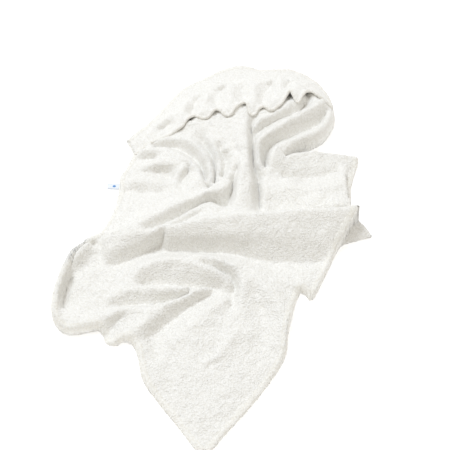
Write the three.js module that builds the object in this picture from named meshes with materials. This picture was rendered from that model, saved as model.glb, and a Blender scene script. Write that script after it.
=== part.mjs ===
import * as THREE from 'three';
import { mergeVertices } from 'three/addons/utils/BufferGeometryUtils.js';

// A square towel with a hood sewn across one corner, dropped on a flat surface so that it lies
// in soft folds. +Y runs from the front corner to the hood, +Z is up, sizes are in millimetres.

// Driving dimensions
const LYING_WIDTH = 590;      // across the folded towel, from its left to its right corner
const LYING_LENGTH = 860;     // from the front corner to the crown of the hood
const PILE_CLOTH = 4;         // one layer of looped cotton cloth
const LAID_HEIGHT = 10;       // the bunched layers where no fold rises
const BAND_FOLD_HEIGHT = 62;  // the big fold that stands across the middle
const HEM_WIDTH = 12;
const HEM_HEIGHT = 9;
const POCKET_HEIGHT = 38;     // the free height inside the hood
const POCKET_SLOPE = 85;      // how far in from the seam the hood reaches that height
const CASING_RADIUS = 5;      // the turned channel along the hood's free edge
const CASING_WALL = 1.2;
const ELASTIC_PLAY = 1.8;     // between the elastic and the inside of the channel
const RUFFLE_DEPTH = 6;       // the gathers of the free edge, half of front to back
const RUFFLE_PITCH = 70;
const THREAD_WIDTH = 1.6;
const THREAD_HEIGHT = 0.8;
const LABEL_LENGTH = 22;
const LABEL_WIDTH = 13;
const LABEL_THICKNESS = 0.8;
const LABEL_LIFT = 3;
const GAP = 0.3;              // clearance between pieces that touch
const GRID = 17;              // spacing of the modelled surface
const WELD = 1e-4;            // points nearer than this are one point

// The outline was drawn 580 wide and 855 long; the panels stop short of it by the hem.
const DRAWN_WIDTH = 580;
const DRAWN_LENGTH = 855;
const panelWidth = LYING_WIDTH - 2 * (HEM_WIDTH + GAP);
const panelLength = LYING_LENGTH - 2 * (HEM_WIDTH + GAP);
const at = ([x, y]) => new THREE.Vector2(x * panelWidth / DRAWN_WIDTH, y * panelLength / DRAWN_LENGTH);
const hingeY = at([0, 222]).y;
const cornerTop = 2 * PILE_CLOTH;

const terry = new THREE.MeshStandardMaterial({ color: 0xf4f1e8, roughness: 0.95, metalness: 0 });
const tape = new THREE.MeshStandardMaterial({ color: 0xeeebe0, roughness: 0.85, metalness: 0 });
const thread = new THREE.MeshStandardMaterial({ color: 0xf8f6ee, roughness: 0.6, metalness: 0 });
const rubber = new THREE.MeshStandardMaterial({ color: 0xe9e6dc, roughness: 0.7, metalness: 0 });
const satin = new THREE.MeshStandardMaterial({ color: 0xf7f8fa, roughness: 0.45, metalness: 0 });

const towel = new THREE.Group();
const hoodEnd = new THREE.Group();
const label = new THREE.Group();
towel.add(hoodEnd, label);

// Adds a closed mesh under its name.
function piece(group, name, geometry, material) {
  const mesh = new THREE.Mesh(geometry, material);
  mesh.name = name;
  group.add(mesh);
}

// The value at s of a line through points [s, value], whose s rises.
function along(points, s) {
  const next = Math.max(1, points.findIndex(([start]) => start >= s));
  const [s0, v0] = points[next - 1];
  const [s1, v1] = points[next];
  return v0 + (v1 - v0) * THREE.MathUtils.clamp((s - s0) / (s1 - s0), 0, 1);
}

// The distance from a point to a line of points.
function distanceTo(line, x, y) {
  const point = new THREE.Vector3(x, y, 0);
  const nearest = new THREE.Vector3();
  const distances = line.slice(1).map((end, i) => {
    const segment = new THREE.Line3(
      new THREE.Vector3(line[i].x, line[i].y, 0),
      new THREE.Vector3(end.x, end.y, 0),
    );
    return segment.closestPointToPoint(point, true, nearest).distanceTo(point);
  });
  return Math.min(...distances);
}

// A closed solid made of rows of columns: corner(row, column) gives [x, y, low, high].
function slab(rows, columns, corner) {
  const positions = [];
  const index = [];
  for (let r = 0; r <= rows; r++) {
    for (let c = 0; c <= columns; c++) {
      const [x, y, low, high] = corner(r, c);
      positions.push(x, y, low, x, y, high);
    }
  }
  const low = (r, c) => 2 * (r * (columns + 1) + c);
  const high = (r, c) => low(r, c) + 1;
  const quad = (a, b, c, d) => index.push(a, b, c, a, c, d);
  for (let r = 0; r < rows; r++) {
    for (let c = 0; c < columns; c++) {
      quad(high(r, c), high(r, c + 1), high(r + 1, c + 1), high(r + 1, c));
      quad(low(r, c), low(r + 1, c), low(r + 1, c + 1), low(r, c + 1));
    }
    quad(low(r, 0), high(r, 0), high(r + 1, 0), low(r + 1, 0));
    quad(low(r, columns), low(r + 1, columns), high(r + 1, columns), high(r, columns));
  }
  for (let c = 0; c < columns; c++) {
    quad(low(0, c), low(0, c + 1), high(0, c + 1), high(0, c));
    quad(low(rows, c), high(rows, c), high(rows, c + 1), low(rows, c + 1));
  }
  const geometry = new THREE.BufferGeometry();
  geometry.setAttribute('position', new THREE.Float32BufferAttribute(positions, 3));
  geometry.setIndex(index);
  return mergeVertices(geometry, WELD);
}

// Values from the first to the last of the given ones, through all of them, at most GRID apart.
function stations(values) {
  const sorted = [...new Set(values)].sort((a, b) => a - b);
  const all = [sorted[0]];
  sorted.slice(1).forEach((end, i) => {
    const start = sorted[i];
    const steps = Math.ceil((end - start) / GRID);
    for (let k = 1; k <= steps; k++) all.push(start + (end - start) * k / steps);
  });
  return all.filter((value, i) => i === 0 || value - all[i - 1] > 0.5);
}

// A panel that lies flat, between a left and a right edge that both run front to back.
function panel(left, right, topAt) {
  const ys = stations([...left, ...right].map((p) => p.y));
  const leftX = left.map((p) => [p.y, p.x]);
  const rightX = right.map((p) => [p.y, p.x]);
  const columns = Math.round(panelWidth / GRID);
  return slab(ys.length - 1, columns, (r, c) => {
    const x0 = along(leftX, ys[r]);
    const x = x0 + (along(rightX, ys[r]) - x0) * c / columns;
    return [x, ys[r], 0, topAt(x, ys[r])];
  });
}

// A strip beside a line of points, from near to far off it, on its right as the line runs.
function edging(line, near, far, low, high) {
  const out = line.map((p, i) => {
    const before = line[Math.max(i - 1, 0)];
    const after = line[Math.min(i + 1, line.length - 1)];
    const a = p.clone().sub(before).normalize();
    const b = after.clone().sub(p).normalize();
    const mean = a.add(b).normalize();
    const reach = Math.max(0.5, Math.abs(mean.dot(i > 0 ? p.clone().sub(before).normalize() : b)));
    return new THREE.Vector2(mean.y, -mean.x).divideScalar(i === 0 || !b.length() ? 1 : reach);
  });
  return slab(line.length - 1, 1, (r, c) => {
    const offset = c === 0 ? near : far;
    return [line[r].x + out[r].x * offset, line[r].y + out[r].y * offset, low, high];
  });
}

// ---- The towel where it lies in front of the hood ----

const leftSide = [
  [-286, -150], [-280, -85], [-260, -35], [-235, -10], [-210, 10], [-195, 40],
  [-184, 95], [-184, 155], [-175, 190], [-175, 222],
].map(at);
const frontLeft = [
  [-24, -425], [-42, -408], [-78, -355], [-118, -300], [-130, -262], [-142, -240],
  [-160, -228], [-200, -215], [-252, -200], [-276, -184], [-286, -150],
].map(at);
const frontRight = [
  [-16, -425], [15, -385], [60, -342], [103, -275], [118, -240], [125, -200],
  [136, -165], [172, -130], [200, -80], [236, -22], [262, -8], [286, 2],
].map(at);
const rightSide = [
  [286, 2], [266, 25], [257, 50], [259, 85], [264, 120], [276, 165],
  [268, 178], [240, 190], [228, 204], [228, 222],
].map(at);

// The folds that rise above the bunched layers: crest line, height above the floor, half width.
const folds = [
  { line: [[-85, -45], [-30, -15], [20, 0], [80, 15], [250, 25]], height: BAND_FOLD_HEIGHT, half: 34 },
  { line: [[-195, -40], [-140, -15], [-75, 30], [-20, 55], [25, 80]], height: 42, half: 30 },
  { line: [[52, 240], [50, 175], [45, 75], [35, 30]], height: 48, half: 22 },
  { line: [[-140, 195], [-90, 195], [-45, 168], [-25, 130], [-30, 95]], height: 30, half: 22 },
  { line: [[78, 130], [95, 190], [150, 240]], height: 50, half: 34 },
  { line: [[105, 125], [135, 175], [215, 200]], height: 38, half: 26 },
  { line: [[-215, -12], [-250, -45], [-266, -85], [-274, -140]], height: 26, half: 16 },
  { line: [[-155, -95], [-90, -75], [0, -85], [30, -115]], height: 26, half: 20 },
  { line: [[-185, -180], [-110, -140], [0, -125]], height: 26, half: 22 },
  { line: [[-130, -228], [-55, -172], [10, -135]], height: 24, half: 20 },
].map((fold) => ({ ...fold, line: fold.line.map(at) }));

const HINGE_CLEAR = 60;      // the folds sink to the bare cloth this far in front of the hood
const smooth = (t) => THREE.MathUtils.smoothstep(t, 0, 1);

function laidTop(x, y) {
  const rise = folds.map(({ line, height, half }) => {
    return (height - LAID_HEIGHT) * smooth(1 - distanceTo(line, x, y) / half);
  });
  const settled = LAID_HEIGHT + Math.max(...rise);
  const nearHood = smooth((hingeY - y) / HINGE_CLEAR);
  return THREE.MathUtils.lerp(cornerTop, settled, nearHood);
}

const frontGap = hingeY - GAP / 2;
const stopAt = (line, y) => [...line.slice(0, -1), new THREE.Vector2(line.at(-1).x, y)];
const leftEdge = [...frontLeft, ...stopAt(leftSide, frontGap).slice(1)];
const rightEdge = [...frontRight, ...stopAt(rightSide, frontGap).slice(1)];
piece(towel, 'towel_panel', panel(leftEdge, rightEdge, laidTop), terry);

// ---- The corner of the towel under the hood ----

const startAt = (line, y) => [new THREE.Vector2(line[0].x, y), ...line.slice(1)];
const hoodLeft = startAt([
  [-175, 222], [-175, 237], [-136, 276], [-78, 358], [-8, 404], [52, 424], [70, 427],
].map(at), hingeY + GAP / 2);
const hoodRight = startAt([
  [228, 222], [228, 245], [234, 315], [206, 374], [160, 412], [98, 425], [75, 427],
].map(at), hingeY + GAP / 2);

// The rolls of cloth that come out of the hood's right side.
const sideRoll = { line: [[165, 250], [225, 262]].map(at), height: 30, half: 24 };
function cornerTopAt(x, y) {
  const rise = smooth(1 - distanceTo(sideRoll.line, x, y) / sideRoll.half);
  return cornerTop + (sideRoll.height - cornerTop) * rise;
}
piece(hoodEnd, 'hood_corner_panel', panel(hoodLeft, hoodRight, cornerTopAt), terry);

// ---- The hood: a second layer over that corner, open to the front ----

const SEAM_INSET = 9;        // the hood's edge stops this far short of the corner's, front to back
const reversed = (line) => [...line].reverse();
const seam = [...hoodLeft.slice(1), ...reversed(hoodRight).slice(0, -2)].map((p) => {
  return new THREE.Vector2(p.x, p.y - SEAM_INSET);
});
const mouthLine = new THREE.SplineCurve([[-160, 238], [-90, 254], [0, 264], [100, 274], [150, 300],
  [222, 318]].map(at));
const gathers = 44;             // steps along the gathered edge
const mouth = mouthLine.getPoints(gathers).map((p, i) => {
  const ends = Math.sin(Math.PI * i / gathers);
  const gather = Math.sin(2 * Math.PI * p.x / RUFFLE_PITCH) * RUFFLE_DEPTH * ends;
  return new THREE.Vector2(p.x, p.y + gather);
});

function underHood(x, y) {
  return cornerTop + GAP + POCKET_HEIGHT * smooth(distanceTo(seam, x, y) / POCKET_SLOPE);
}

const seamY = seam.map((p) => [p.x, p.y]);
const mouthY = mouth.map((p) => [p.x, p.y]);
const hoodRows = Math.round((seam.at(5).y - mouth[0].y) / GRID);
const hood = slab(hoodRows, mouth.length - 1, (r, c) => {
  const x = mouth[c].x;
  const front = along(mouthY, x);
  const y = front + (along(seamY, x) - front) * r / hoodRows;
  return [x, y, underHood(x, y), underHood(x, y) + PILE_CLOTH];
});
piece(hoodEnd, 'hood_panel', hood, terry);

// The turned channel along the free edge, with the elastic that gathers it.
const channelPath = mouth.map((p, i) => {
  const before = mouth[Math.max(i - 1, 0)];
  const after = mouth[Math.min(i + 1, mouth.length - 1)];
  const run = after.clone().sub(before).normalize();
  const reach = CASING_RADIUS + 3 * GAP;
  const x = p.x + run.y * reach;
  const y = p.y - run.x * reach;
  return new THREE.Vector3(x, y, underHood(p.x, p.y) + CASING_RADIUS);
});
const channelSteps = 54;
function round(radius, hole) {
  const shape = new THREE.Shape().absarc(0, 0, radius, 0, 2 * Math.PI, false);
  if (hole) shape.holes.push(new THREE.Path().absarc(0, 0, hole, 0, 2 * Math.PI, true));
  return shape;
}
function drawnAlong(path, shape, sides) {
  const extrudePath = new THREE.CatmullRomCurve3(path);
  return mergeVertices(stripped(new THREE.ExtrudeGeometry(shape, {
    extrudePath, steps: channelSteps, curveSegments: sides,
  })), WELD);
}
function stripped(geometry) {
  geometry.deleteAttribute('normal');
  geometry.deleteAttribute('uv');
  return geometry;
}
const casingBore = CASING_RADIUS - CASING_WALL;
const elasticRadius = casingBore - ELASTIC_PLAY;
piece(hoodEnd, 'hood_casing', drawnAlong(channelPath, round(CASING_RADIUS, casingBore), 5), terry);
piece(hoodEnd, 'hood_elastic', drawnAlong(channelPath.slice(1, -1), round(elasticRadius), 4), rubber);

// ---- Hems along the edges, and the thread that sews each one ----

const mainHems = {
  left_side: reversed(stopAt(leftSide, frontGap)),
  front_left: reversed(frontLeft),
  front_right: frontRight,
  right_side: stopAt(rightSide, frontGap),
};
const hoodHems = {
  hood_left: reversed(hoodLeft),
  hood_right: hoodRight,
};
const hoodHemHeight = cornerTop + GAP + PILE_CLOTH;

function hem(group, side, line, height) {
  const middle = GAP + HEM_WIDTH / 2;
  const threadLow = height + GAP;
  const width = THREAD_WIDTH / 2;
  const sewn = edging(line, middle - width, middle + width, threadLow, threadLow + THREAD_HEIGHT);
  piece(group, `hem_${side}`, edging(line, GAP, GAP + HEM_WIDTH, 0, height), tape);
  piece(group, `hem_thread_${side}`, sewn, thread);
}
Object.entries(mainHems).forEach(([side, line]) => hem(towel, side, line, HEM_HEIGHT));
Object.entries(hoodHems).forEach(([side, line]) => hem(hoodEnd, side, line, hoodHemHeight));

// ---- The folded ribbon label caught in the left hem ----

const labelEnd = at([-184, 125]);
const ribbon = new THREE.BoxGeometry(LABEL_LENGTH, LABEL_WIDTH, LABEL_THICKNESS);
ribbon.translate(
  labelEnd.x - HEM_WIDTH - 2 * GAP - LABEL_LENGTH / 2,
  labelEnd.y,
  LABEL_LIFT - LABEL_THICKNESS / 2,
);
piece(label, 'care_label', mergeVertices(stripped(ribbon), WELD), satin);

// The origin is under the middle of the whole towel, on the surface that it lies on.
const box = new THREE.Box3().setFromObject(towel);
const middle = box.getCenter(new THREE.Vector3());
towel.position.set(-middle.x, -middle.y, -box.min.z);

export default towel;
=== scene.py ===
import bpy
import numpy as np
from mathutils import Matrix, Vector


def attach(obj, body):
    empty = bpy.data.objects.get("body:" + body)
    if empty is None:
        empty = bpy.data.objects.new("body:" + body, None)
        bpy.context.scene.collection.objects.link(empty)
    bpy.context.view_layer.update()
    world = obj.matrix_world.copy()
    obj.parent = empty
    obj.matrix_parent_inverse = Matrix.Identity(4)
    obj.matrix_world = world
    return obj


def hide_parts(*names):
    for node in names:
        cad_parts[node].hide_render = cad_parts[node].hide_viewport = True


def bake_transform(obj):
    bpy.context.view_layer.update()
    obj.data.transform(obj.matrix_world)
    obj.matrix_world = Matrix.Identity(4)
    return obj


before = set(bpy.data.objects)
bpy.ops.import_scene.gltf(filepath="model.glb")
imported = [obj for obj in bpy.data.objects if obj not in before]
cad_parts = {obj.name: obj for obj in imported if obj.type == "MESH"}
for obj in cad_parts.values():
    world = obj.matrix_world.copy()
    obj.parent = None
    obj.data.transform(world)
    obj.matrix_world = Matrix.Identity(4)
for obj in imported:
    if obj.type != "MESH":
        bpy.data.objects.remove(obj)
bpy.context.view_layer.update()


# ---- Where the towel is seen from ----
# The camera looks down at the laid towel from its front corner, with the hood away from it.

camera_data = bpy.data.cameras.new("camera")
camera_data.lens = 71.6
camera = bpy.data.objects.new("camera", camera_data)
bpy.context.collection.objects.link(camera)
bpy.context.scene.camera = camera
aim = Vector((0.017, 0.030, 0.0))
tilt = np.radians(55.0)
distance = 1.7
camera.location = aim + distance * Vector((0.0, -np.cos(tilt), np.sin(tilt)))
camera.rotation_euler = (np.pi / 2 - tilt, 0.0, 0.0)
bpy.context.scene.view_settings.view_transform = "Standard"


# ---- The floor and the light ----
# A plain white studio floor. A soft box stands high behind the towel on its left, a weak one fills
# the shadows from the front, and the rest is pale light from all round.


def srgb(hex_colour):
    """A linear colour with alpha, from its sRGB hex code."""
    values = [int(hex_colour[i : i + 2], 16) / 255 for i in (0, 2, 4)]
    linear = [v / 12.92 if v <= 0.04045 else ((v + 0.055) / 1.055) ** 2.4 for v in values]
    return (*linear, 1.0)


def node(tree, kind, inputs=(), **settings):
    """Adds a node. inputs are pairs of a socket's name and its value or the output that feeds it."""
    made = tree.nodes.new(kind)
    for name, value in settings.items():
        setattr(made, name, value)
    for name, value in inputs:
        socket = made.inputs[name]
        if isinstance(value, bpy.types.NodeSocket):
            tree.links.new(value, socket)
        else:
            socket.default_value = value
    return made


floor_paint = bpy.data.materials.new("floor")
floor_paint.use_nodes = True
floor_shader = floor_paint.node_tree.nodes["Principled BSDF"]
floor_shader.inputs["Base Color"].default_value = srgb("fbfbfb")
floor_shader.inputs["Roughness"].default_value = 0.9
floor_shader.inputs["Emission Color"].default_value = (1, 1, 1, 1)
floor_shader.inputs["Emission Strength"].default_value = 0.35

bpy.ops.mesh.primitive_plane_add(size=12, location=(0, 0, 0))
floor = bpy.context.object
floor.name = "floor"
floor.data.materials.append(floor_paint)

world = bpy.data.worlds.new("world")
bpy.context.scene.world = world
world.use_nodes = True
world.node_tree.nodes["Background"].inputs["Color"].default_value = srgb("fffbf3")
world.node_tree.nodes["Background"].inputs["Strength"].default_value = 0.63


def soft_light(name, place, size, watts, colour):
    """A square soft box that faces the towel."""
    lamp = bpy.data.lights.new(name, "AREA")
    lamp.color = srgb(colour)[:3]
    lamp.size = size
    lamp.energy = watts
    holder = bpy.data.objects.new(name, lamp)
    bpy.context.collection.objects.link(holder)
    holder.location = place
    holder.rotation_euler = (-Vector(place)).to_track_quat("-Z", "Y").to_euler()


soft_light("key", (-1.65, 2.2, 5.06), 1.98, 188, "eef5ff")
soft_light("fill", (1.2, -0.8, 2.2), 1.5, 4, "ffffff")


# ---- The towel square ----
# One square of looped cotton terry, cut about 75 cm each way. It was dropped on its back with the
# hood at the far corner, so its sides are pushed together into long folds.

MM = 0.001
CLOTH = 4.2 * MM    # how thick one layer lies
GRID = 2.6 * MM     # between the points of a cut sheet


def smooth_line(points, steps=6, closed=False):
    """Points along a smooth curve through the given ones. Columns after x and y are carried along.

    It is a Catmull-Rom curve. A point that is given twice makes a corner.
    """
    p = np.array(points, float)
    n = len(p)
    spans = n if closed else n - 1
    out = []
    for i in range(spans):
        if closed:
            a, b, c, d = p[(i - 1) % n], p[i], p[(i + 1) % n], p[(i + 2) % n]
        else:
            a, b, c, d = p[max(i - 1, 0)], p[i], p[i + 1], p[min(i + 2, n - 1)]
        if np.allclose(b[:2], c[:2]):
            continue
        t = np.linspace(0, 1, steps, endpoint=False)[:, None]
        square = 2 * a - 5 * b + 4 * c - d
        cube = 3 * b - a - 3 * c + d
        out.append(0.5 * (2 * b + (c - a) * t + square * t**2 + cube * t**3))
    if not closed:
        out.append(p[-1:])
    return np.vstack(out)


def evenly(line, count):
    """The line of points cut again into equal steps."""
    run = np.concatenate([[0], np.cumsum(np.linalg.norm(np.diff(line, axis=0), axis=1))])
    at = np.linspace(0, run[-1], count)
    return np.column_stack([np.interp(at, run, line[:, i]) for i in range(line.shape[1])])


def nearest(line, at):
    """Where each point lies beside the line of points.

    Gives its distance, its side (+1 is left), the line's other columns there, and how far it lies
    past the line's ends.
    """
    best = np.full(len(at), 1e9)
    side = np.ones(len(at))
    carried = np.zeros((len(at), line.shape[1] - 2))
    beyond = np.zeros(len(at))
    for i in range(len(line) - 1):
        a, b = line[i], line[i + 1]
        run = b[:2] - a[:2]
        size = run @ run
        if size < 1e-18:
            continue
        raw = ((at - a[:2]) @ run) / size
        t = np.clip(raw, 0, 1)
        gap = at - a[:2] - t[:, None] * run
        d = np.hypot(gap[:, 0], gap[:, 1])
        closer = d < best
        best = np.where(closer, d, best)
        cross = run[0] * gap[:, 1] - run[1] * gap[:, 0]
        side = np.where(closer, np.where(cross >= 0, 1.0, -1.0), side)
        over = np.zeros(len(at))
        if i == 0:
            over = np.where(raw < 0, -raw * np.sqrt(size), over)
        if i == len(line) - 2:
            over = np.where(raw > 1, (raw - 1) * np.sqrt(size), over)
        beyond = np.where(closer, over, beyond)
        here = a[2:] + t[:, None] * (b[2:] - a[2:])
        carried = np.where(closer[:, None], here, carried)
    return best, side, carried, beyond


# The outline as it lies, from the hood's left end round by the front corner: x, y, and how far in
# the cloth turns down to the floor there, all in mm. That is short at a hem and long where a fold
# rolls over.
left_side = [
    (-181, 232, 5), (-170, 212, 5), (-166, 200, 5), (-169, 186, 5), (-177, 160, 5), (-186, 143, 5),
    (-188, 128, 5), (-188, 100, 5), (-190, 80, 5), (-195, 53, 5), (-201, 34, 5), (-212, 8, 4),
]
left_lobe = [
    (-236, -13, 4), (-260, -41, 5), (-279, -88, 5), (-288, -140, 5), (-286, -172, 5), (-276, -192, 5),
    (-257, -205, 4), (-227, -202, 6), (-205, -197, 7),
]
front_left = [
    (-196, -206, 8), (-189, -221, 8), (-175, -227, 8), (-157, -219, 8), (-142, -226, 8), (-131, -250, 7),
    (-122, -289, 6), (-100, -324, 5), (-65, -368, 5), (-40, -401, 5), (-24, -421, 4), (-24, -421, 4),
]
front_right = [
    (-10, -421, 3), (17, -388, 3), (58, -341, 3), (89, -300, 3), (111, -266, 3), (122, -237, 3),
    (125, -208, 3), (134, -170, 3), (142, -141, 3), (152, -119, 3), (152, -119, 3), (163, -126, 3),
]
band_end = [(173, -134, 3), (201, -80, 3), (226, -28, 2), (249, 10, 1), (265, 32, 1)]
right_corner = [(226, -28, 3), (241, -16, 4), (293, 0, 4), (293, 0, 4), (280, 24, 6), (268, 40, 6)]
right_flap = [
    (258, 62, 6), (259, 87, 4), (261, 110, 3), (267, 134, 3), (275, 159, 3), (282, 186, 4), (282, 186, 4),
    (247, 190, 5), (187, 190, 6), (158, 184, 7), (137, 176, 7), (137, 176, 7),
]
side_rolls = [
    (153, 187, 12), (169, 200, 15), (192, 215, 17), (213, 230, 18), (228, 252, 18), (238, 275, 18),
    (242, 298, 17),
]
hood_arch = [
    (241, 319, 14), (238, 338, 10), (228, 366, 8), (209, 396, 6), (186, 416, 6), (161, 431, 6),
    (127, 431, 6), (92, 431, 6), (56, 441, 6), (26, 437, 6), (-4, 419, 6), (-40, 396, 6),
    (-78, 367, 6), (-108, 321, 6), (-137, 280, 6), (-160, 256, 6), (-181, 232, 5),
]
outline = smooth_line(
    left_side + left_lobe + front_left + front_right + band_end[:2]
    + right_corner + right_flap + side_rolls + hood_arch,
    closed=True,
) * MM

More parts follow.
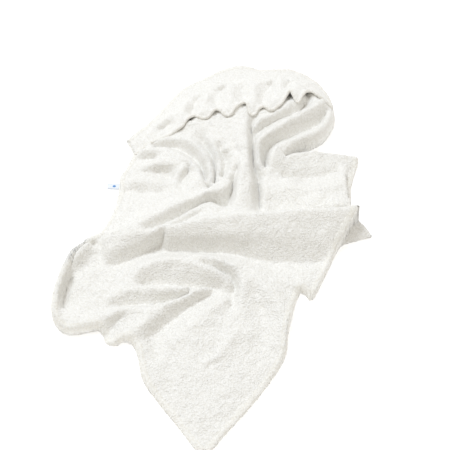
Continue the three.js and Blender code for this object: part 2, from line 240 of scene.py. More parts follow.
# The lie of the cloth: lines along its crests, feet and valleys as x, y and height in mm. The cloth
# is stretched smoothly between them.
lie = {
    "top of the band": [
        (-84, -7, 46), (-69, -4, 52), (-47, 0, 56), (-10, 5, 58), (26, 10, 60), (81, 13, 62),
        (155, 19, 63), (229, 25, 62), (266, 32, 58),
    ],
    "face of the band": [
        (-80, -23, 34), (-29, -20, 40), (26, -19, 41), (99, -20, 42), (173, -15, 42), (221, -5, 40),
    ],
    "foot of the band": [
        (-89, -30, 5), (-29, -38, 7), (26, -40, 7), (63, -49, 4), (100, -57, 3), (155, -60, 3),
        (196, -57, 3),
    ],
    "top of the left roll": [
        (-190, -15, 38), (-162, -3, 41), (-129, 11, 43), (-95, 33, 44), (-58, 54, 44), (-24, 69, 43),
        (8, 82, 42), (27, 100, 40),
    ],
    "peak under it": [
        (-168, -23, 40), (-121, -13, 42), (-84, 4, 43), (-48, 26, 44), (-15, 49, 44), (-4, 45, 44),
        (11, 29, 44), (23, 19, 48),
    ],
    "valley behind the peak": [
        (-129, -2, 30), (-108, 7, 26), (-86, 20, 24), (-49, 45, 22), (-21, 67, 20), (-4, 71, 18),
        (11, 61, 12), (25, 63, 10),
    ],
    "saddle from the peak to the band": [(-69, -5, 43), (-44, 10, 44), (-18, 21, 45), (8, 19, 48)],
    "face of the left roll": [(-189, -42, 30), (-157, -34, 31), (-121, -22, 33), (-103, -14, 34)],
    "foot of the left roll": [
        (-199, -69, 8), (-176, -62, 6), (-149, -48, 5), (-122, -29, 4), (-102, -15, 5),
    ],
    "left end of the roll": [(-200, -22, 32), (-199, -44, 26), (-197, -56, 18)],
    "floor left of the roll": [(-214, -9, 14), (-212, -33, 10), (-209, -59, 9)],
    "plateau": [(-184, 34, 24), (-153, 50, 27), (-116, 63, 29), (-78, 76, 31), (-46, 77, 35)],
    "left edge": [(-166, 187, 9), (-174, 155, 11), (-182, 125, 11), (-186, 79, 13), (-200, 14, 17)],
    "ledge": [(-163, 121, 19), (-128, 116, 25), (-98, 107, 28), (-50, 88, 34), (-25, 77, 39)],
    "hollow under the ledge": [(-175, 104, 6), (-147, 97, 9), (-124, 93, 14), (-102, 92, 19)],
    "dish": [(-140, 146, 16), (-120, 138, 13), (-102, 135, 11), (-84, 129, 12)],
    "curl": [(-73, 98, 33), (-79, 116, 31), (-70, 135, 32), (-53, 146, 34), (-37, 140, 36)],
    "slit of the curl": [(-68, 110, 20), (-63, 127, 17), (-57, 140, 17), (-51, 150, 20)],
    "inner lip of the curl": [(-56, 104, 31), (-39, 130, 33)],
    "inner arch": [
        (-152, 196, 19), (-128, 193, 26), (-101, 189, 31), (-79, 179, 34), (-43, 148, 38),
        (-33, 128, 38), (-29, 109, 38), (-23, 98, 36),
    ],
    "soft dip inside the arch": [(-161, 184, 3), (-120, 184, 12)],
    "second crest inside it": [(-145, 151, 22), (-120, 151, 28), (-67, 152, 33)],
    "groove over the arch": [
        (-134, 220, 6), (-108, 214, 10), (-81, 208, 11), (-61, 192, 12), (-43, 179, 12), (-30, 159, 12),
        (-20, 118, 13),
    ],
    "outer arch": [
        (-149, 213, 14), (-127, 219, 20), (-101, 221, 27), (-73, 218, 33), (-48, 204, 37),
        (-30, 185, 39), (-18, 161, 40), (-10, 136, 40), (-8, 113, 39), (-10, 96, 36),
    ],
    "dark end of the arch": [(-18, 101, 20), (-10, 98, 20)],
    "second groove": [(-31, 222, 23), (-21, 208, 20), (-11, 191, 19), (-1, 155, 17), (-4, 108, 14)],
    "thin ridge": [(-19, 214, 38), (-7, 191, 38), (5, 145, 36), (2, 98, 36)],
    "third groove": [(5, 197, 27), (13, 177, 21), (19, 158, 19), (9, 123, 20)],
    "arched ridge": [(15, 187, 39), (25, 188, 41), (33, 176, 40), (33, 152, 39), (23, 114, 40)],
    "groove left of the pleat": [
        (35, 193, 42), (43, 183, 38), (46, 163, 35), (44, 142, 33), (38, 125, 30), (32, 110, 23),
        (30, 95, 18), (23, 62, 14),
    ],
    "long pleat": [
        (45, 277, 45), (45, 213, 48), (46, 174, 49), (46, 136, 50), (44, 99, 50), (38, 45, 47),
        (32, 27, 46),
    ],
    "groove right of the pleat": [
        (69, 267, 38), (71, 249, 28), (73, 224, 20), (73, 188, 17), (74, 160, 14), (80, 139, 8),
        (83, 115, 4), (85, 86, 4), (84, 60, 4),
    ],
    "near side of the first roll": [(78, 195, 45), (81, 159, 36), (85, 146, 28), (95, 128, 22)],
    "top of the first roll": [
        (78, 197, 46), (90, 207, 49), (116, 229, 51), (147, 251, 53), (201, 290, 51), (217, 311, 46),
    ],
    "hollow of the first roll": [
        (98, 158, 4), (98, 175, 8), (101, 193, 14), (107, 205, 18), (123, 216, 20), (178, 244, 21),
        (206, 261, 20), (222, 290, 18),
    ],
    "top of the second roll": [
        (108, 144, 30), (105, 159, 36), (109, 174, 40), (123, 189, 43), (145, 200, 45), (175, 213, 45),
        (202, 231, 43), (220, 255, 39), (230, 287, 34),
    ],
    "turn round the notch": [(112, 135, 23), (124, 127, 21), (143, 126, 19), (163, 130, 17)],
    "upper crest of the right flap": [(148, 146, 19), (184, 155, 20), (224, 161, 18), (254, 171, 13)],
    "dip of the right flap": [(134, 128, 10), (164, 132, 8), (203, 139, 8), (239, 149, 8)],
    "lower crest of the right flap": [
        (92, 110, 24), (132, 98, 26), (170, 95, 27), (209, 97, 28), (240, 104, 28),
    ],
    "flap under the band": [(95, 72, 16), (126, 65, 13), (160, 60, 14)],
    "ridge beside the band": [(176, 82, 22), (197, 66, 25), (225, 57, 28), (253, 53, 30)],
    "edge of the flap's top layer": [(248, 152, 20), (250, 124, 24), (250, 100, 24), (252, 78, 22)],
    "layer under that edge": [(270, 161, 3), (268, 111, 3)],
    "cloth in front of the hood": [(-23, 241, 37), (7, 233, 40), (31, 231, 43)],
    "lower part of it": [(-9, 216, 36), (19, 208, 39), (39, 200, 42)],
    "ridge from the hood to the left": [(-21, 253, 38), (-41, 241, 34), (-67, 234, 30), (-93, 225, 25)],
    "pocket of the first gather": [(-68, 254, 22), (-50, 272, 20), (-36, 268, 24)],
    "cloth along the hood's edge": [
        (-23, 264, 38), (-7, 258, 42), (11, 261, 42), (25, 262, 43), (39, 273, 43), (53, 284, 46),
        (67, 266, 42), (81, 271, 42), (100, 270, 43), (118, 275, 44),
    ],
    "roll out of the hood": [(73, 239, 42), (91, 255, 45), (117, 269, 47), (142, 287, 48), (155, 306, 46)],
    "groove between the rolls": [
        (77, 229, 27), (85, 244, 28), (104, 258, 30), (139, 273, 31), (166, 288, 30), (179, 310, 26),
    ],
    "rim of the lobe": [
        (-215, 2, 14), (-244, -24, 26), (-258, -47, 30), (-272, -82, 32), (-281, -118, 32),
        (-283, -153, 32), (-280, -180, 30), (-271, -193, 25),
    ],
    "inside of the rim": [
        (-227, -21, 8), (-241, -29, 4), (-253, -47, 3), (-263, -75, 3), (-270, -105, 3),
        (-274, -134, 3), (-272, -156, 5),
    ],
    "dish of the lobe": [
        (-221, -35, 12), (-234, -62, 13), (-246, -100, 13), (-255, -138, 13), (-222, -111, 14),
        (-208, -83, 13),
    ],
    "flat of the lobe": [(-194, -97, 14), (-192, -122, 15), (-213, -154, 17), (-233, -175, 18)],
    "front edge of the lobe": [(-259, -194, 23), (-234, -194, 24), (-213, -195, 26), (-201, -202, 24)],
    "first low crest": [
        (-150, -133, 19), (-149, -113, 23), (-141, -93, 28), (-123, -80, 32), (-100, -71, 34),
        (-73, -69, 34), (-46, -75, 34), (-21, -84, 35), (1, -94, 33), (19, -105, 28), (26, -115, 23),
    ],
    "its hook": [
        (-23, -70, 19), (-3, -75, 14), (15, -83, 9), (28, -96, 6), (34, -112, 5), (33, -134, 7),
        (28, -160, 12),
    ],
    "crest over the hook": [
        (-50, -56, 24), (-19, -61, 29), (8, -70, 32), (31, -83, 33), (46, -103, 31), (49, -130, 28),
        (40, -180, 17),
    ],
    "foot of the first low crest": [
        (-131, -110, 9), (-100, -110, 8), (-46, -113, 6), (-19, -115, 6), (1, -113, 6),
    ],
    "second low crest": [
        (-187, -139, 19), (-161, -130, 24), (-134, -125, 26), (-98, -125, 26), (-63, -126, 25),
        (-27, -129, 22),
    ],
    "its foot": [(-187, -155, 8), (-161, -152, 6), (-125, -149, 5), (-99, -147, 5), (-46, -127, 6)],
    "third low crest": [
        (-196, -183, 21), (-180, -175, 25), (-158, -168, 26), (-132, -166, 26), (-105, -166, 27),
        (-83, -158, 27), (-35, -131, 22), (-13, -122, 18),
    ],
    "black hollow": [(-195, -220, 2), (-187, -208, 2), (-181, -195, 3), (-173, -183, 8), (-157, -173, 15)],
    "fourth low crest": [(-167, -225, 17), (-150, -219, 23), (-117, -188, 27), (-100, -175, 28)],
    "groove along the front flap": [
        (-113, -213, 5), (-80, -183, 4), (-63, -165, 4), (-28, -135, 4), (8, -115, 6),
    ],
    "left swell of the flap": [(-127, -233, 16), (-118, -253, 14), (-102, -274, 12)],
    "flap": [(-74, -232, 14), (-44, -202, 20), (-6, -164, 23), (19, -144, 20)],
    "flap's middle": [(-32, -281, 12), (12, -244, 20), (39, -207, 22)],
    "ripple": [
        (66, -87, 26), (86, -119, 30), (103, -146, 31), (120, -177, 29), (129, -209, 26),
        (130, -237, 21),
    ],
    "dip beside the ripple": [(74, -132, 17), (79, -161, 11), (85, -200, 9), (81, -238, 8)],
    "tuck": [(152, -118, 4), (160, -130, 4)],
    "over the tuck": [(127, -107, 17), (148, -115, 16), (168, -122, 11)],
    "right low cloth": [(135, -84, 14), (162, -86, 14), (186, -78, 11)],
    "front tip": [(-33, -331, 9), (17, -313, 10), (59, -267, 10)],
    "right side of the long pleat": [
        (59, 277, 45), (61, 244, 46), (60, 210, 46), (62, 176, 47), (61, 138, 47), (65, 104, 44),
        (62, 50, 40),
    ],
    "flap beside the groove": [(88, 116, 25), (92, 94, 26), (93, 71, 24), (95, 55, 20)],
    "left end of the band": [(-86, -12, 44), (-86, -21, 31), (-87, -28, 15)],
    "floor beside the band's end": [(-97, -12, 12), (-98, -25, 7)],
    "inner side of the rim": [
        (-222, -12, 18), (-237, -27, 24), (-251, -48, 28), (-266, -83, 30), (-275, -119, 30),
        (-277, -152, 30), (-276, -171, 28),
    ],
    "creases of the peak": [(-81, 0, 36), (-57, 13, 37), (-33, 31, 38)],
    "upper side of the dish": [(-130, 151, 19), (-107, 148, 16), (-87, 145, 17)],
    "hollow beside it": [(-115, -214, 6), (-107, -233, 6), (-94, -257, 8)],
    "dip right of the ripple": [(116, -107, 18), (133, -139, 15), (144, -166, 13)],
    "low swell at the right": [(148, -188, 16), (147, -213, 15)],
    "second ripple": [(36, -232, 14), (29, -263, 12), (15, -295, 9)],
    "dip beside it": [(8, -206, 14), (-2, -244, 12), (-13, -277, 10)],
    "right end of the band": [(264, 25, 56), (253, 5, 46), (225, -39, 18), (209, -60, 11)],
    "left side of the front flap": [(-92, -312, 6), (-64, -350, 5), (-24, -395, 5)],
    "right side of the front flap": [(113, -240, 12), (83, -288, 7), (42, -340, 5), (-1, -394, 5)],
    "behind the band": [(81, 37, 18), (155, 43, 18), (229, 49, 18), (266, 56, 18)],
}

# Where an edge of the cloth lies on a lower layer: the lower layer is on the right of the line.
band_hem = [(173, -134), (201, -80), (226, -28), (249, 10), (267, 36)]
flap_hem = [(252, 78), (250, 104), (251, 128), (255, 150), (262, 166)]


def crumple(at, size, seed, strength):
    """Soft random ripples: two dozen plane waves of about the given size, in metres."""
    rng = np.random.default_rng(seed)
    total = np.zeros(len(at))
    waves = 24
    for _ in range(waves):
        turn = rng.uniform(0, 2 * np.pi)
        number = 2 * np.pi / (size * rng.uniform(0.7, 1.6))
        along = at @ np.array([np.cos(turn), np.sin(turn)]) * number
        total += np.sin(along + rng.uniform(0, 2 * np.pi))
    return strength * total / np.sqrt(waves / 2)


def inside(line, at):
    """Whether each point is inside the closed line."""
    found = np.zeros(len(at), bool)
    for a, b in zip(line, np.roll(line, -1, axis=0)):
        spans = (a[1] > at[:, 1]) != (b[1] > at[:, 1])
        if a[1] != b[1]:
            x = a[0] + (at[:, 1] - a[1]) / (b[1] - a[1]) * (b[0] - a[0])
            found ^= spans & (at[:, 0] < x)
    return found


def laplace(z):
    """How far each point of a grid lies below its neighbours, summed."""
    out = np.zeros_like(z)
    step = np.diff(z, axis=0)
    out[:-1] += step
    out[1:] -= step
    step = np.diff(z, axis=1)
    out[:, :-1] += step
    out[:, 1:] -= step
    return out


ROUNDING = 2.8 * MM    # a crest or valley is rounded over about this length
HOLD = 150.0           # how firmly the cloth is held to the lines
SAG = 0.0012           # how firmly it sinks to its resting height away from them
RESTING = 10 * MM      # the height it sinks to


def stretched(lines, spacing, low, start):
    """Heights on a grid of a cloth held by the lines, taut but stiff enough to be rounded.

    They are found by conjugate gradients, from the start heights down to where the cloth is at rest.
    """
    pull = np.full(start.shape, SAG)
    goal = np.full(start.shape, SAG * RESTING)
    for points in lines:
        line = smooth_line(points, 4) * MM
        run = np.linalg.norm(np.diff(line[:, :2], axis=0), axis=1).sum()
        line = evenly(line, max(2, int(run / (0.5 * spacing))))
        cells = np.round((line[:, :2] - low) / spacing).astype(int)
        np.add.at(pull, (cells[:, 1], cells[:, 0]), HOLD / 2)
        np.add.at(goal, (cells[:, 1], cells[:, 0]), HOLD / 2 * line[:, 2])
    stiff = (ROUNDING / spacing) ** 2

    def force(z):
        bend = laplace(z)
        return pull * z - bend + stiff * laplace(bend)

    most_steps = 700
    near_enough = 1e-11
    z = start.copy()
    rest = goal - force(z)
    way = rest.copy()
    energy = (rest * rest).sum()
    for _ in range(most_steps):
        pushed = force(way)
        step = energy / (way * pushed).sum()
        z += step * way
        rest -= step * pushed
        left = (rest * rest).sum()
        if left < near_enough:
            break
        way = rest + (left / energy) * way
        energy = left
    return z


def sampled(grid, low, spacing, at):
    """The grid's values at places between its points."""
    rows, columns = grid.shape
    u = np.clip((at - low) / spacing, 0, [columns - 1.001, rows - 1.001])
    i, j = u.astype(int).T
    s, t = (u - u.astype(int)).T
    return (grid[j, i] * (1 - s) * (1 - t) + grid[j, i + 1] * s * (1 - t)
            + grid[j + 1, i] * (1 - s) * t + grid[j + 1, i + 1] * s * t)


def laid_cloth(lines, edge):
    """A function that gives the height of a cloth laid along the lines, anywhere inside its edge."""
    margin = 12 * MM
    low = edge[:, :2].min(axis=0) - margin
    extent = np.ptp(edge[:, :2], axis=0)[::-1] + 2 * margin
    grid = None
    for spacing in (12 * MM, 6 * MM, GRID):    # coarse first, so that each starts near its answer
        shape = tuple(np.ceil(extent / spacing).astype(int))
        if grid is None:
            start = np.full(shape, RESTING)
        else:
            gx, gy = np.meshgrid(np.arange(shape[1]), np.arange(shape[0]))
            places = low + spacing * np.column_stack([gx.ravel(), gy.ravel()])
            start = sampled(grid, low, before, places).reshape(shape)
        grid = stretched(lines, spacing, low, start)
        before = spacing
    return lambda at: sampled(grid, low, before, at)


# The hood lies over the square's far corner, so its lie is settled first and the square stays under
# it. Its free side stands up in gathers: x, y and height in mm.
free_side = [
    (-162, 196, 9), (-141, 216, 13), (-117, 226, 20), (-95, 232, 26), (-81, 241, 31), (-69, 247, 36),
    (-59, 261, 43), (-45, 268, 45), (-29, 263, 43), (-17, 265, 44), (-5, 277, 50), (5, 278, 51),
    (17, 268, 47), (27, 268, 47), (37, 283, 52), (49, 292, 55), (61, 292, 55), (67, 271, 48),
    (75, 269, 47), (85, 282, 52), (96, 285, 53), (108, 278, 50), (120, 283, 52), (130, 292, 54),
    (141, 312, 56), (150, 326, 57), (157, 311, 53), (165, 299, 50), (174, 314, 54), (184, 325, 55),
    (197, 325, 52), (211, 317, 46), (223, 313, 36), (236, 314, 16),
]
hood_lie = {
    "crown": [
        (-134, 243, 19), (-95, 282, 27), (-55, 322, 31), (-14, 349, 33), (38, 364, 35),
        (90, 366, 36), (142, 374, 36), (184, 365, 34), (214, 340, 30),
    ],
    "flute above the first tip": [(-72, 261, 40), (-68, 283, 42), (-59, 307, 40)],
    "flute above the second tip": [(-31, 272, 48), (-24, 301, 46), (-18, 327, 42)],
    "flute above the third tip": [(25, 277, 52), (29, 308, 50), (25, 342, 44)],
    "flute above the fourth tip": [(71, 283, 54), (78, 314, 50), (77, 348, 44)],
    "flute above the fifth tip": [(112, 292, 56), (123, 323, 52), (133, 359, 44)],
    "flute above the sixth tip": [(157, 312, 58), (171, 345, 50)],
    "dent over the first gather": [(-52, 280, 31), (-46, 309, 26), (-39, 335, 23)],
    "dent over the second gather": [(1, 294, 37), (-1, 327, 31), (11, 354, 26), (44, 372, 25)],
    "dent over the third gather": [(54, 304, 41), (54, 333, 34)],
    "dent over the fourth gather": [(92, 300, 39), (101, 337, 32), (115, 370, 27)],
    "dent over the deep gather": [(143, 347, 37), (153, 376, 27)],
    "dent at the right": [(184, 344, 37), (198, 369, 26)],
    "soft dent on the left": [(-115, 256, 12), (-91, 268, 17)],
}
hood_seam = [(x, y, 8) for x, y, _ in hood_arch]
hood_edge = np.vstack([smooth_line(free_side, 8), smooth_line(hood_seam, 6)[:-1]]) * MM
# The square nearly touches the hood's free side from below, apart from a dark hollow under each
# gather: its middle x, depth and width in mm. It lies closest at the left end.
hollows = [(-52, 9, 8), (0, 5, 6), (55, 6, 6), (90, 5, 6), (148, 14, 8), (186, 14, 8)]
under_side, behind_side = [], []
for x, y, high in smooth_line(free_side, 2):
    snug = 2.5 * np.clip((-75 - x) / 20, 0, 1)
    drop = 5.0 - 0.8 * snug
    drop += sum(deep * np.exp(-(((x - middle) / wide) ** 2)) for middle, deep, wide in hollows)
    under_side.append((x, y - 1, high - drop))
    behind_side.append((x, y + 10, high - 1.3 * drop))
hood_lie_at = laid_cloth([free_side, hood_seam, *hood_lie.values()], hood_edge)
towel_lie_at = laid_cloth([*lie.values(), under_side, behind_side], outline)


def crumpled(at):
    """The small unevenness of cloth that has been washed and dropped."""
    wide = crumple(at, 45 * MM, 3, 0.7 * MM)
    middling = crumple(at, 22 * MM, 5, 0.35 * MM)
    narrow = crumple(at, 9 * MM, 8, 0.2 * MM)
    return wide + middling + narrow


def turned_down(at, z, edge):
    """The height, brought down to the floor at the cloth's edge, and the distance in from the edge.

    The edge's third column is how far in the turn begins.
    """
    into, _, carried, _ = nearest(np.vstack([edge, edge[:1]]), at)
    low = 0.6 * CLOTH
    turned = 1 - np.clip(into / np.maximum(carried[:, 0], 0.5 * MM), 0, 1)
    return low + (np.maximum(z, low) - low) * np.sqrt(np.maximum(1 - turned * turned, 0.0)), into


def hood_height(at):
    """The middle of the hood cloth's thickness above the floor, with ripples of its own."""
    elsewhere = at + 0.3
    return np.maximum(hood_lie_at(at) + 0.8 * crumpled(elsewhere), 1.7 * CLOTH)


def towel_height(at):
    """The middle of the square's thickness above the floor."""
    z = towel_lie_at(at) + crumpled(at)
    covered = inside(hood_edge, at)
    z = np.where(covered, np.minimum(z, hood_height(at) - 1.1 * CLOTH), z)
    z, into = turned_down(at, z, outline)
    # At the right the layers under the two edges lie almost on the floor. They reach the given
    # number of mm past the ends of the lines.
    at_right = at[:, 0] > 220 * MM
    for hem, reach in ((band_hem, 30), (flap_hem, 1)):
        _, side, _, beyond = nearest(np.array(hem, float) * MM, at)
        under = at_right & (side < 0) & (beyond < reach * MM)
        z = np.where(under, np.minimum(z, 3 * MM + 0.5 * into), z)
    return z


def towel_at(at):
    """Where points of the plan lie on the towel."""
    return np.column_stack([at, towel_height(at)])


def new_piece(name, points, faces):
    """A mesh object from its points and faces."""
    mesh = bpy.data.meshes.new(name)
    mesh.from_pydata([tuple(map(float, p)) for p in points], [], [tuple(map(int, f)) for f in faces])
    mesh.validate()
    mesh.update()
    made = bpy.data.objects.new(name, mesh)
    bpy.context.collection.objects.link(made)
    for polygon in mesh.polygons:
        polygon.use_smooth = True
    return made


def cut_sheet(name, line, lay):
    """A sheet of cloth cut to the closed line and laid by the given function, one layer thick."""
    low, high = line[:, :2].min(axis=0), line[:, :2].max(axis=0)
    nx, ny = np.ceil((high - low) / GRID).astype(int) + 1
    xs, ys = low[0] + GRID * np.arange(nx), low[1] + GRID * np.arange(ny)
    gx, gy = np.meshgrid(xs, ys)
    at = np.column_stack([gx.ravel(), gy.ravel()])
    centres = at + GRID / 2
    kept = inside(line, centres).reshape(ny, nx)[:-1, :-1]
    rows, columns = np.nonzero(kept)
    first = rows * nx + columns
    faces = np.column_stack([first, first + 1, first + nx + 1, first + nx])
    used, packed = np.unique(faces, return_inverse=True)
    faces = packed.reshape(faces.shape)
    at = at[used]
    # The points on the rim are moved to the line, so that the edge is clean and not stepped.
    pairs = np.vstack([np.column_stack([faces[:, k], faces[:, (k + 1) % 4]]) for k in range(4)])
    edges, counts = np.unique(np.sort(pairs, axis=1), axis=0, return_counts=True)
    rim = np.unique(edges[counts == 1])
    at[rim] = onto(line, at[rim])
    return new_piece(name, lay(at), faces)


def onto(line, at):
    """The nearest points of the closed line."""
    best = np.full(len(at), 1e9)
    out = at.copy()
    for a, b in zip(line[:, :2], np.roll(line[:, :2], -1, axis=0)):
        run = b - a
        if run @ run < 1e-18:
            continue
        t = np.clip(((at - a) @ run) / (run @ run), 0, 1)
        foot = a + t[:, None] * run
        d = np.hypot(*(at - foot).T)
        out = np.where((d < best)[:, None], foot, out)
        best = np.minimum(d, best)
    return out


def thicken(piece, depth):
    """Gives a single layer its thickness, half to each side, as a closed mesh."""
    solid = piece.modifiers.new("thickness", "SOLIDIFY")
    solid.thickness = depth
    solid.offset = 0
    graph = bpy.context.evaluated_depsgraph_get()
    mesh = bpy.data.meshes.new_from_object(piece.evaluated_get(graph))
    piece.modifiers.clear()
    old = piece.data
    piece.data = mesh
    bpy.data.meshes.remove(old)
    mesh.name = piece.name


def add_pile(piece, height, seed):
    """Moves the points of a piece in and out unevenly, by up to the height, as curled loops stand."""
    mesh = piece.data
    count = len(mesh.vertices)
    points = np.empty(count * 3)
    mesh.vertices.foreach_get("co", points)
    ways = np.empty(count * 3)
    mesh.vertices.foreach_get("normal", ways)
    rng = np.random.default_rng(seed)
    lift = rng.normal(0, 0.42, count).clip(-1, 1) * height
    points = points.reshape(-1, 3) + ways.reshape(-1, 3) * lift[:, None]
    points[:, 2] = np.maximum(points[:, 2], 0)
    mesh.vertices.foreach_set("co", points.ravel())
    mesh.update()


def terry_material(name, colour, painted_shade, loop, depth):
    """Cotton loops of the given width and depth in metres, with painted shade of the given colour between
    them.
    """
    made = bpy.data.materials.new(name)
    made.use_nodes = True
    tree = made.node_tree
    shader = tree.nodes["Principled BSDF"]
    shader.inputs["Roughness"].default_value = 0.95
    shader.inputs["Specular IOR Level"].default_value = 0.12
    shader.inputs["Sheen Weight"].default_value = 0.25
    shader.inputs["Sheen Roughness"].default_value = 0.5
    place = node(tree, "ShaderNodeTexCoord").outputs["Object"]
    curls = node(tree, "ShaderNodeTexNoise", [
        ("Vector", place), ("Scale", 0.9 / loop), ("Detail", 2.0), ("Distortion", 0.6),
    ]).outputs["Fac"]
    loops = node(tree, "ShaderNodeTexVoronoi", [("Vector", place), ("Scale", 1 / loop)]).outputs["Distance"]
    clumps = node(tree, "ShaderNodeTexNoise", [
        ("Vector", place), ("Scale", 0.22 / loop), ("Detail", 1.0),
    ]).outputs["Fac"]
    domes = node(tree, "ShaderNodeMath", [
        (0, loops), (1, -0.55), (2, curls),
    ], operation="MULTIPLY_ADD").outputs[0]
    pile = node(tree, "ShaderNodeMath", [
        (0, clumps), (1, 0.6), (2, domes),
    ], operation="MULTIPLY_ADD").outputs[0]
    bump = node(tree, "ShaderNodeBump", [("Height", pile), ("Strength", 1.0), ("Distance", depth)])
    tree.links.new(bump.outputs["Normal"], shader.inputs["Normal"])
    # The colour darkens to the painted shade where the loops are low, in the hollows between them.
    loop_colour_and_painted_shade = node(tree, "ShaderNodeValToRGB", [("Fac", domes)])
    loop_colour_and_painted_shade.color_ramp.elements[0].color = srgb(painted_shade)
    loop_colour_and_painted_shade.color_ramp.elements[1].position = 0.4
    loop_colour_and_painted_shade.color_ramp.elements[1].color = srgb(colour)
    tree.links.new(loop_colour_and_painted_shade.outputs["Color"], shader.inputs["Base Color"])
    return made


# Off-white cotton terry in curled loops: quite matt, grainy, with painted shade between the loops.
# They are drawn 3.4 mm apart, where the real ones stand about 2 mm apart, so that the grain shows.
terry = terry_material("cotton terry", "f8f7f4", "efede7", 3.4 * MM, 1.9 * MM)
towel = cut_sheet("towel", outline, towel_at)
thicken(towel, CLOTH)
add_pile(towel, 0.75 * MM, 21)
towel.data.materials.append(terry)
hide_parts("towel_panel", "hood_corner_panel")
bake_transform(towel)


# ---- The hood ----
# A second triangle of the same terry, sewn across the corner with its long side free. The elastic in
# that free side is shorter than the cloth, so the side stands up in gathers and hollows.


def hood_at(at):
    """Where points of the plan lie on the hood."""
    return np.column_stack([at, hood_height(at)])


hood = cut_sheet("hood", hood_edge, hood_at)
thicken(hood, CLOTH)
add_pile(hood, 0.65 * MM, 22)
hood.data.materials.append(terry)
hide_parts("hood_panel")
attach(hood, "hood_end")


def sweep(name, path, radii, sides):
    """A tube of round section with closed ends, along a path of points with a radius for each."""
    run = np.gradient(path, axis=0)
    run /= np.linalg.norm(run, axis=1)[:, None]
    out = np.cross(run, [0, 0, 1.0])
    out /= np.linalg.norm(out, axis=1)[:, None]
    up = np.cross(out, run)
    turns = np.linspace(0, 2 * np.pi, sides, endpoint=False)
    ring = np.cos(turns)[None, :, None] * out[:, None] + np.sin(turns)[None, :, None] * up[:, None]
    points = (path[:, None] + ring * np.asarray(radii).reshape(-1, 1, 1)).reshape(-1, 3)
    faces = []
    for i in range(len(path) - 1):
        for j in range(sides):
            a, b = i * sides + j, i * sides + (j + 1) % sides
            faces.append((a, b, b + sides, a + sides))
    start, end = len(points), len(points) + 1
    points = np.vstack([points, path[:1], path[-1:]])
    last = (len(path) - 1) * sides
    for j in range(sides):
        faces.append((start, (j + 1) % sides, j))
        faces.append((end, last + j, last + (j + 1) % sides))
    return new_piece(name, points, faces)


# The free side is turned over the elastic and stitched, which makes a soft rolled edge that is
# fuller and thinner by turns.
rolled = evenly(smooth_line(free_side, 8) * MM, 420)
rolled[:, 2] = np.maximum(hood_height(rolled[:, :2]), rolled[:, 2] - 3 * MM)
step = np.arange(len(rolled))
puff = 3.4 * MM * (1 + 0.12 * np.sin(step * 0.9) * np.sin(step * 0.37))
casing = sweep("rolled_edge", rolled, puff, 12)
# The same cotton with its loops pressed flatter where it is turned and sewn: smoother and creamier,
# with the same painted shade between the loops.
hem_cloth = terry_material("turned cotton hem", "f8f7f3", "edeae2", 3.4 * MM, 1.4 * MM)
casing.data.materials.append(hem_cloth)
add_pile(casing, 0.35 * MM, 23)
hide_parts("hood_casing")
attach(casing, "hood_end")

# Woven elastic, 3 mm wide, that draws the edge in. It lies wholly inside the rolled edge.
elastic_run = rolled[6:-6]
elastic = sweep("woven_elastic", elastic_run, np.full(len(elastic_run), 1.5 * MM), 8)
# Rubber cords woven into cotton, fine and flat: cream and matt, with painted shade in the hollows of the
# weave.
elastic_band = terry_material("woven elastic", "efece2", "dedacd", 0.8 * MM, 0.2 * MM)
elastic.data.materials.append(elastic_band)
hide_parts("hood_elastic")
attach(elastic, "hood_end")


# ---- The hems ----
# Every side of the square is turned under twice and sewn, which leaves a smooth flat band about
# 11 mm wide, thicker than the cloth and puckered a little by the thread.

HEM_DEPTH = 5.3 * MM
HEM_ROWS = np.array([0.4, 3, 6, 9, 11.5]) * MM          # where the rows of points across it lie
HEM_HEIGHTS = np.array([0.42, 0.5, 0.5, 0.48, 0.22])    # its tops there, as shares of its depth
STITCHED = 3                                            # the row that the thread runs along
FOLDED = 1.7 * MM                                       # from the first row out to the hem's fold


def softened(line, reach, times):
    """The line with its waves smoothed away over a number of points, and its ends kept."""
    out = line.copy()
    for _ in range(times):
        padded = np.vstack([np.repeat(out[:1], reach, axis=0), out, np.repeat(out[-1:], reach, axis=0)])
        sums = np.cumsum(np.vstack([np.zeros((1, out.shape[1])), padded]), axis=0)
        width = 2 * reach + 1
        out = (sums[width:] - sums[:-width]) / width
        out[0], out[-1] = line[0], line[-1]
    return out


def hem_points(line, lay):
    """Rows of points inside a stretch of the outline, the cloth's up there, and the way inwards."""
    run = np.gradient(line, axis=0)
    run /= np.linalg.norm(run, axis=1)[:, None]
    inward = np.column_stack([-run[:, 1], run[:, 0]])
    inward = softened(inward, 2, 2)
    inward /= np.linalg.norm(inward, axis=1)[:, None]
    rows = np.array([lay(line + inward * q) for q in HEM_ROWS])
    along = np.gradient(rows, axis=1)
    across = np.gradient(rows, axis=0)
    up = np.cross(along, across)
    up /= np.linalg.norm(up, axis=2)[:, :, None]
    return rows, up, inward


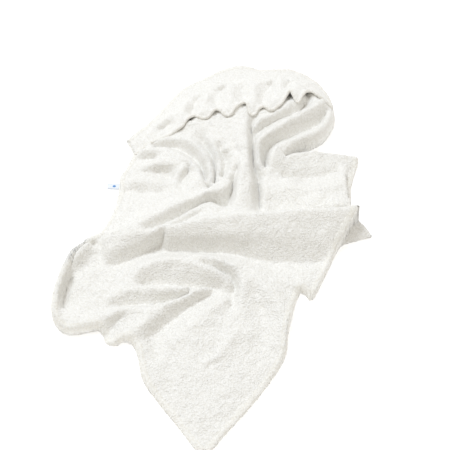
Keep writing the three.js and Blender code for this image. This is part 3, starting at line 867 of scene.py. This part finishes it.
def sew_hem(name, line, lay, body, threads):
    """A hem round the cloth's edge along a stretch of it. Its row for the thread goes to threads."""
    length = np.linalg.norm(np.diff(line[:, :2], axis=0), axis=1).sum()
    line = evenly(line[:, :2], int(length / (3 * MM)))
    inner, up, inward = hem_points(line, lay)
    step = np.arange(len(line))
    pucker = 1 + 0.09 * np.sin(step * 1.9) * np.sin(step * 0.31 + 1)
    heights = HEM_HEIGHTS * HEM_DEPTH
    tops = inner + up * (heights[:, None] * pucker)[:, :, None]
    bottoms = inner - up * (heights[:, None] * 0.9)[:, :, None]
    bottoms[:, :, 2] = np.maximum(bottoms[:, :, 2], 0.0)
    outer = inner[0] - np.column_stack([inward, np.zeros(len(line))]) * FOLDED
    outer[:, 2] = np.maximum(outer[:, 2], 1 * MM)
    loop = np.concatenate([[outer], tops, bottoms[::-1]])
    sides, count = len(loop), len(line)
    points = loop.transpose(1, 0, 2).reshape(-1, 3)
    faces = []
    for i in range(count - 1):
        for j in range(sides):
            a, b = i * sides + j, i * sides + (j + 1) % sides
            faces.append((a, b, b + sides, a + sides))
    faces.append(tuple(reversed(range(sides))))
    faces.append(tuple(range((count - 1) * sides, count * sides)))
    made = new_piece("turned_" + name, points, faces)
    add_pile(made, 0.5 * MM, 24)
    made.data.materials.append(hem_cloth)
    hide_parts(name)
    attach(made, body)
    row = inner[STITCHED] + up[STITCHED] * (heights[STITCHED] * pucker)[:, None]
    threads.append((name.replace("hem_", "hem_thread_"), row, body))
    return made


def stretch(points):
    """A stretch of the outline, smoothed."""
    return smooth_line(points, 6) * MM


thread_rows = []
hems = [
    sew_hem("hem_left_side", stretch(left_side + left_lobe[:4]), towel_at, "towel", thread_rows),
    sew_hem("hem_front_left", stretch(left_lobe[3:] + front_left[:-1]), towel_at, "towel", thread_rows),
    sew_hem("hem_front_right", stretch(front_right + band_end), towel_at, "towel", thread_rows),
    sew_hem("hem_right_side", stretch(right_flap[1:6]), towel_at, "towel", thread_rows),
]
CROWN = 8    # the point of the arch where the two sides of the square's corner meet
sew_hem("hem_hood_right", stretch(hood_arch[: CROWN + 1]), hood_at, "hood_end", thread_rows)
sew_hem("hem_hood_left", stretch(hood_arch[CROWN:]), hood_at, "hood_end", thread_rows)


# ---- The sewing thread ----
# One row of lockstitch in white polyester runs 9 mm inside every edge. Each stitch is a short soft
# bead of thread about 2.7 mm long that sinks in at both ends.

STITCH_PITCH = 3.6 * MM
STITCH_LENGTH = 2.7 * MM
STITCH_WIDTH = 0.8 * MM

stitching = bpy.data.node_groups.new("row of stitches", "GeometryNodeTree")
for socket, kind, way in (
    ("Row", "NodeSocketGeometry", "INPUT"), ("Pitch", "NodeSocketFloat", "INPUT"),
    ("Length", "NodeSocketFloat", "INPUT"), ("Width", "NodeSocketFloat", "INPUT"),
    ("Thread", "NodeSocketMaterial", "INPUT"), ("Stitches", "NodeSocketGeometry", "OUTPUT"),
):
    stitching.interface.new_socket(socket, in_out=way, socket_type=kind)
given = node(stitching, "NodeGroupInput")
line_of = node(stitching, "GeometryNodeMeshToCurve", [("Mesh", given.outputs["Row"])])
places = node(stitching, "GeometryNodeCurveToPoints", [
    ("Curve", line_of.outputs["Curve"]), ("Length", given.outputs["Pitch"]),
], mode="LENGTH")
bead = node(stitching, "GeometryNodeMeshUVSphere", [("Segments", 6), ("Rings", 4), ("Radius", 0.5)])
size = node(stitching, "ShaderNodeCombineXYZ", [
    ("X", given.outputs["Width"]), ("Y", given.outputs["Width"]), ("Z", given.outputs["Length"]),
])
# Each stitch is 0.88 to 1.1 times its size. Inputs 2 and 3 are the node's least and greatest number.
uneven = node(stitching, "FunctionNodeRandomValue", [(2, 0.88), (3, 1.1), ("Seed", 5)], data_type="FLOAT")
scaled = node(stitching, "ShaderNodeVectorMath", [(0, size.outputs["Vector"])], operation="SCALE")
stitching.links.new(uneven.outputs[1], scaled.inputs["Scale"])
sewn = node(stitching, "GeometryNodeInstanceOnPoints", [
    ("Points", places.outputs["Points"]), ("Instance", bead.outputs["Mesh"]),
    ("Rotation", places.outputs["Rotation"]), ("Scale", scaled.outputs["Vector"]),
])
real = node(stitching, "GeometryNodeRealizeInstances", [("Geometry", sewn.outputs["Instances"])])
dyed = node(stitching, "GeometryNodeSetMaterial", [
    ("Geometry", real.outputs["Geometry"]), ("Material", given.outputs["Thread"]),
])
result = node(stitching, "NodeGroupOutput")
stitching.links.new(dyed.outputs["Geometry"], result.inputs[0])

# A wave texture of scale 1 repeats after this many metres.
WAVE = 2 * np.pi / 20

# Spun polyester thread: white, softly shining, with the twist of its plies, 0.63 mm apart.
thread = bpy.data.materials.new("polyester thread")
thread.use_nodes = True
thread_tree = thread.node_tree
thread_shader = thread_tree.nodes["Principled BSDF"]
thread_shader.inputs["Roughness"].default_value = 0.6
thread_place = node(thread_tree, "ShaderNodeTexCoord").outputs["Object"]
twist = node(thread_tree, "ShaderNodeTexWave", [
    ("Vector", thread_place), ("Scale", WAVE / (0.63 * MM)), ("Distortion", 3.0),
])
plies = node(thread_tree, "ShaderNodeValToRGB", [("Fac", twist.outputs["Fac"])])
plies.color_ramp.elements[0].color = srgb("ebe8df")
plies.color_ramp.elements[1].color = srgb("fbfaf6")
thread_tree.links.new(plies.outputs["Color"], thread_shader.inputs["Base Color"])
ply_bump = node(thread_tree, "ShaderNodeBump", [("Height", twist.outputs["Fac"]), ("Distance", 0.1 * MM)])
thread_tree.links.new(ply_bump.outputs["Normal"], thread_shader.inputs["Normal"])


def as_mesh(piece):
    """Turns what the piece's modifiers make into its plain mesh."""
    graph = bpy.context.evaluated_depsgraph_get()
    made = bpy.data.meshes.new_from_object(piece.evaluated_get(graph))
    piece.modifiers.clear()
    piece.data = made


def sew_row(name, row, body):
    """A row of stitches along the points, that rides on the body."""
    path = bpy.data.meshes.new(name.replace("hem_thread", "stitches"))
    path.from_pydata([tuple(map(float, p)) for p in row], [(i, i + 1) for i in range(len(row) - 1)], [])
    made = bpy.data.objects.new(path.name, path)
    bpy.context.collection.objects.link(made)
    sewing = made.modifiers.new("stitches", "NODES")
    sewing.node_group = stitching
    values = {"Pitch": STITCH_PITCH, "Length": STITCH_LENGTH, "Width": STITCH_WIDTH, "Thread": thread}
    for socket in stitching.interface.items_tree:
        if socket.name in values:
            sewing[socket.identifier] = values[socket.name]
    as_mesh(made)
    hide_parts(name)
    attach(made, body)


for name, row, body in thread_rows:
    sew_row(name, row, body)


# ---- The care label ----
# A piece of white satin ribbon, folded double and caught in the left hem as it was sewn. It has one
# small plain mark embroidered in blue near its middle.

LABEL_ROOT = Vector((-187.8, 119.5, 3.2)) * MM
LABEL_REACH = 25 * MM
LABEL_WIDE = 12.5 * MM
RIBBON = 0.35 * MM    # how thick the ribbon is
FOLD = 0.8 * MM       # half the height of its fold

# The ribbon's way out of the hem to its fold and back over itself, in shares of LABEL_REACH and FOLD.
label_path = [
    (0.0, -0.7), (-0.25, -1.0), (-0.6, -1.1), (-0.9, -0.9), (-1.0, 0.0),
    (-0.93, 0.85), (-0.6, 0.9), (-0.25, 0.8), (0.0, 0.7),
]
label_line = smooth_line([(x * LABEL_REACH / MM, z * FOLD / MM, 0) for x, z in label_path], 6)[:, :2] * MM
steps_across = 12
label_points = []
for v in np.linspace(-0.5, 0.5, steps_across + 1):
    curl = 1.1 * MM * (2 * v) ** 2    # the ribbon's sides curl up towards its fold
    for x, z in label_line:
        out_of_hem = -x / LABEL_REACH
        height = LABEL_ROOT.z + z + curl * out_of_hem
        label_points.append((LABEL_ROOT.x + x, LABEL_ROOT.y + v * LABEL_WIDE, height))
n = len(label_line)
label_faces = [
    (j * n + i, (j + 1) * n + i, (j + 1) * n + i + 1, j * n + i + 1)
    for j in range(steps_across) for i in range(n - 1)
]
label = new_piece("ribbon_label", label_points, label_faces)
thicken(label, RIBBON)
# Polyester satin ribbon: cool white, greyed a little by painted shade so that it shows on the white
# cloth, and shiny along its ribs. They are drawn 1.2 mm apart, where the real ones are several times
# finer, so that they show.
satin = bpy.data.materials.new("polyester satin")
satin.use_nodes = True
satin_tree = satin.node_tree
satin_shader = satin_tree.nodes["Principled BSDF"]
satin_shader.inputs["Roughness"].default_value = 0.38
satin_shader.inputs["Sheen Weight"].default_value = 0.2
satin_place = node(satin_tree, "ShaderNodeTexCoord").outputs["Object"]
ribs = node(satin_tree, "ShaderNodeTexWave", [
    ("Vector", satin_place), ("Scale", WAVE / (1.2 * MM)),
], bands_direction="Y")
# Both colours are the ribbon's cool white darkened by painted shade, lighter and darker along the ribs.
satin_colour_and_painted_shade = node(satin_tree, "ShaderNodeValToRGB", [("Fac", ribs.outputs["Fac"])])
satin_colour_and_painted_shade.color_ramp.elements[0].color = srgb("d9e0ea")
satin_colour_and_painted_shade.color_ramp.elements[1].color = srgb("eef2f8")
satin_tree.links.new(satin_colour_and_painted_shade.outputs["Color"], satin_shader.inputs["Base Color"])
rib_bump = node(satin_tree, "ShaderNodeBump", [("Height", ribs.outputs["Fac"]), ("Distance", 0.08 * MM)])
satin_tree.links.new(rib_bump.outputs["Normal"], satin_shader.inputs["Normal"])
label.data.materials.append(satin)
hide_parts("care_label")
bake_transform(label)

# The blue mark is a small plain oval of raised satin stitch, with two rings of points and a point in
# the middle of its top and of its underside.
MARK_SIDES = 16
mark_points = [(0, 0, 0.35 * MM)]
for half_long, half_wide, high in ((3.0 * MM, 2.4 * MM, 0.28 * MM), (3.3 * MM, 2.7 * MM, 0.0)):
    for i in range(MARK_SIDES):
        turn = 2 * np.pi * i / MARK_SIDES
        mark_points.append((half_long * np.cos(turn), half_wide * np.sin(turn), high))
mark_points.append((0, 0, 0))
upper_ring = 1
lower_ring = upper_ring + MARK_SIDES
underside = lower_ring + MARK_SIDES
mark_faces = []
for i in range(MARK_SIDES):
    j = (i + 1) % MARK_SIDES
    mark_faces.append((0, upper_ring + i, upper_ring + j))
    mark_faces.append((upper_ring + i, lower_ring + i, lower_ring + j, upper_ring + j))
    mark_faces.append((underside, lower_ring + j, lower_ring + i))
mark_middle = LABEL_ROOT + Vector((-0.46 * LABEL_REACH, 0, FOLD + 0.1 * MM))
mark = new_piece("label_mark", [Vector(p) + mark_middle for p in mark_points], mark_faces)
# Rayon embroidery thread: blue and silky. Its strands are drawn 0.8 mm apart, coarser than they are,
# so that they show.
blue = bpy.data.materials.new("rayon thread")
blue.use_nodes = True
blue_tree = blue.node_tree
blue_shader = blue_tree.nodes["Principled BSDF"]
blue_shader.inputs["Roughness"].default_value = 0.45
blue_place = node(blue_tree, "ShaderNodeTexCoord").outputs["Object"]
strands = node(blue_tree, "ShaderNodeTexWave", [
    ("Vector", blue_place), ("Scale", WAVE / (0.785 * MM)), ("Distortion", 0.6),
])
blue_tint = node(blue_tree, "ShaderNodeValToRGB", [("Fac", strands.outputs["Fac"])])
blue_tint.color_ramp.elements[0].color = srgb("3f7fc4")
blue_tint.color_ramp.elements[1].color = srgb("78aee6")
blue_tree.links.new(blue_tint.outputs["Color"], blue_shader.inputs["Base Color"])
strand_bump = node(blue_tree, "ShaderNodeBump", [
    ("Height", strands.outputs["Fac"]), ("Distance", 0.1 * MM),
])
blue_tree.links.new(strand_bump.outputs["Normal"], blue_shader.inputs["Normal"])
mark.data.materials.append(blue)
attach(mark, "label")
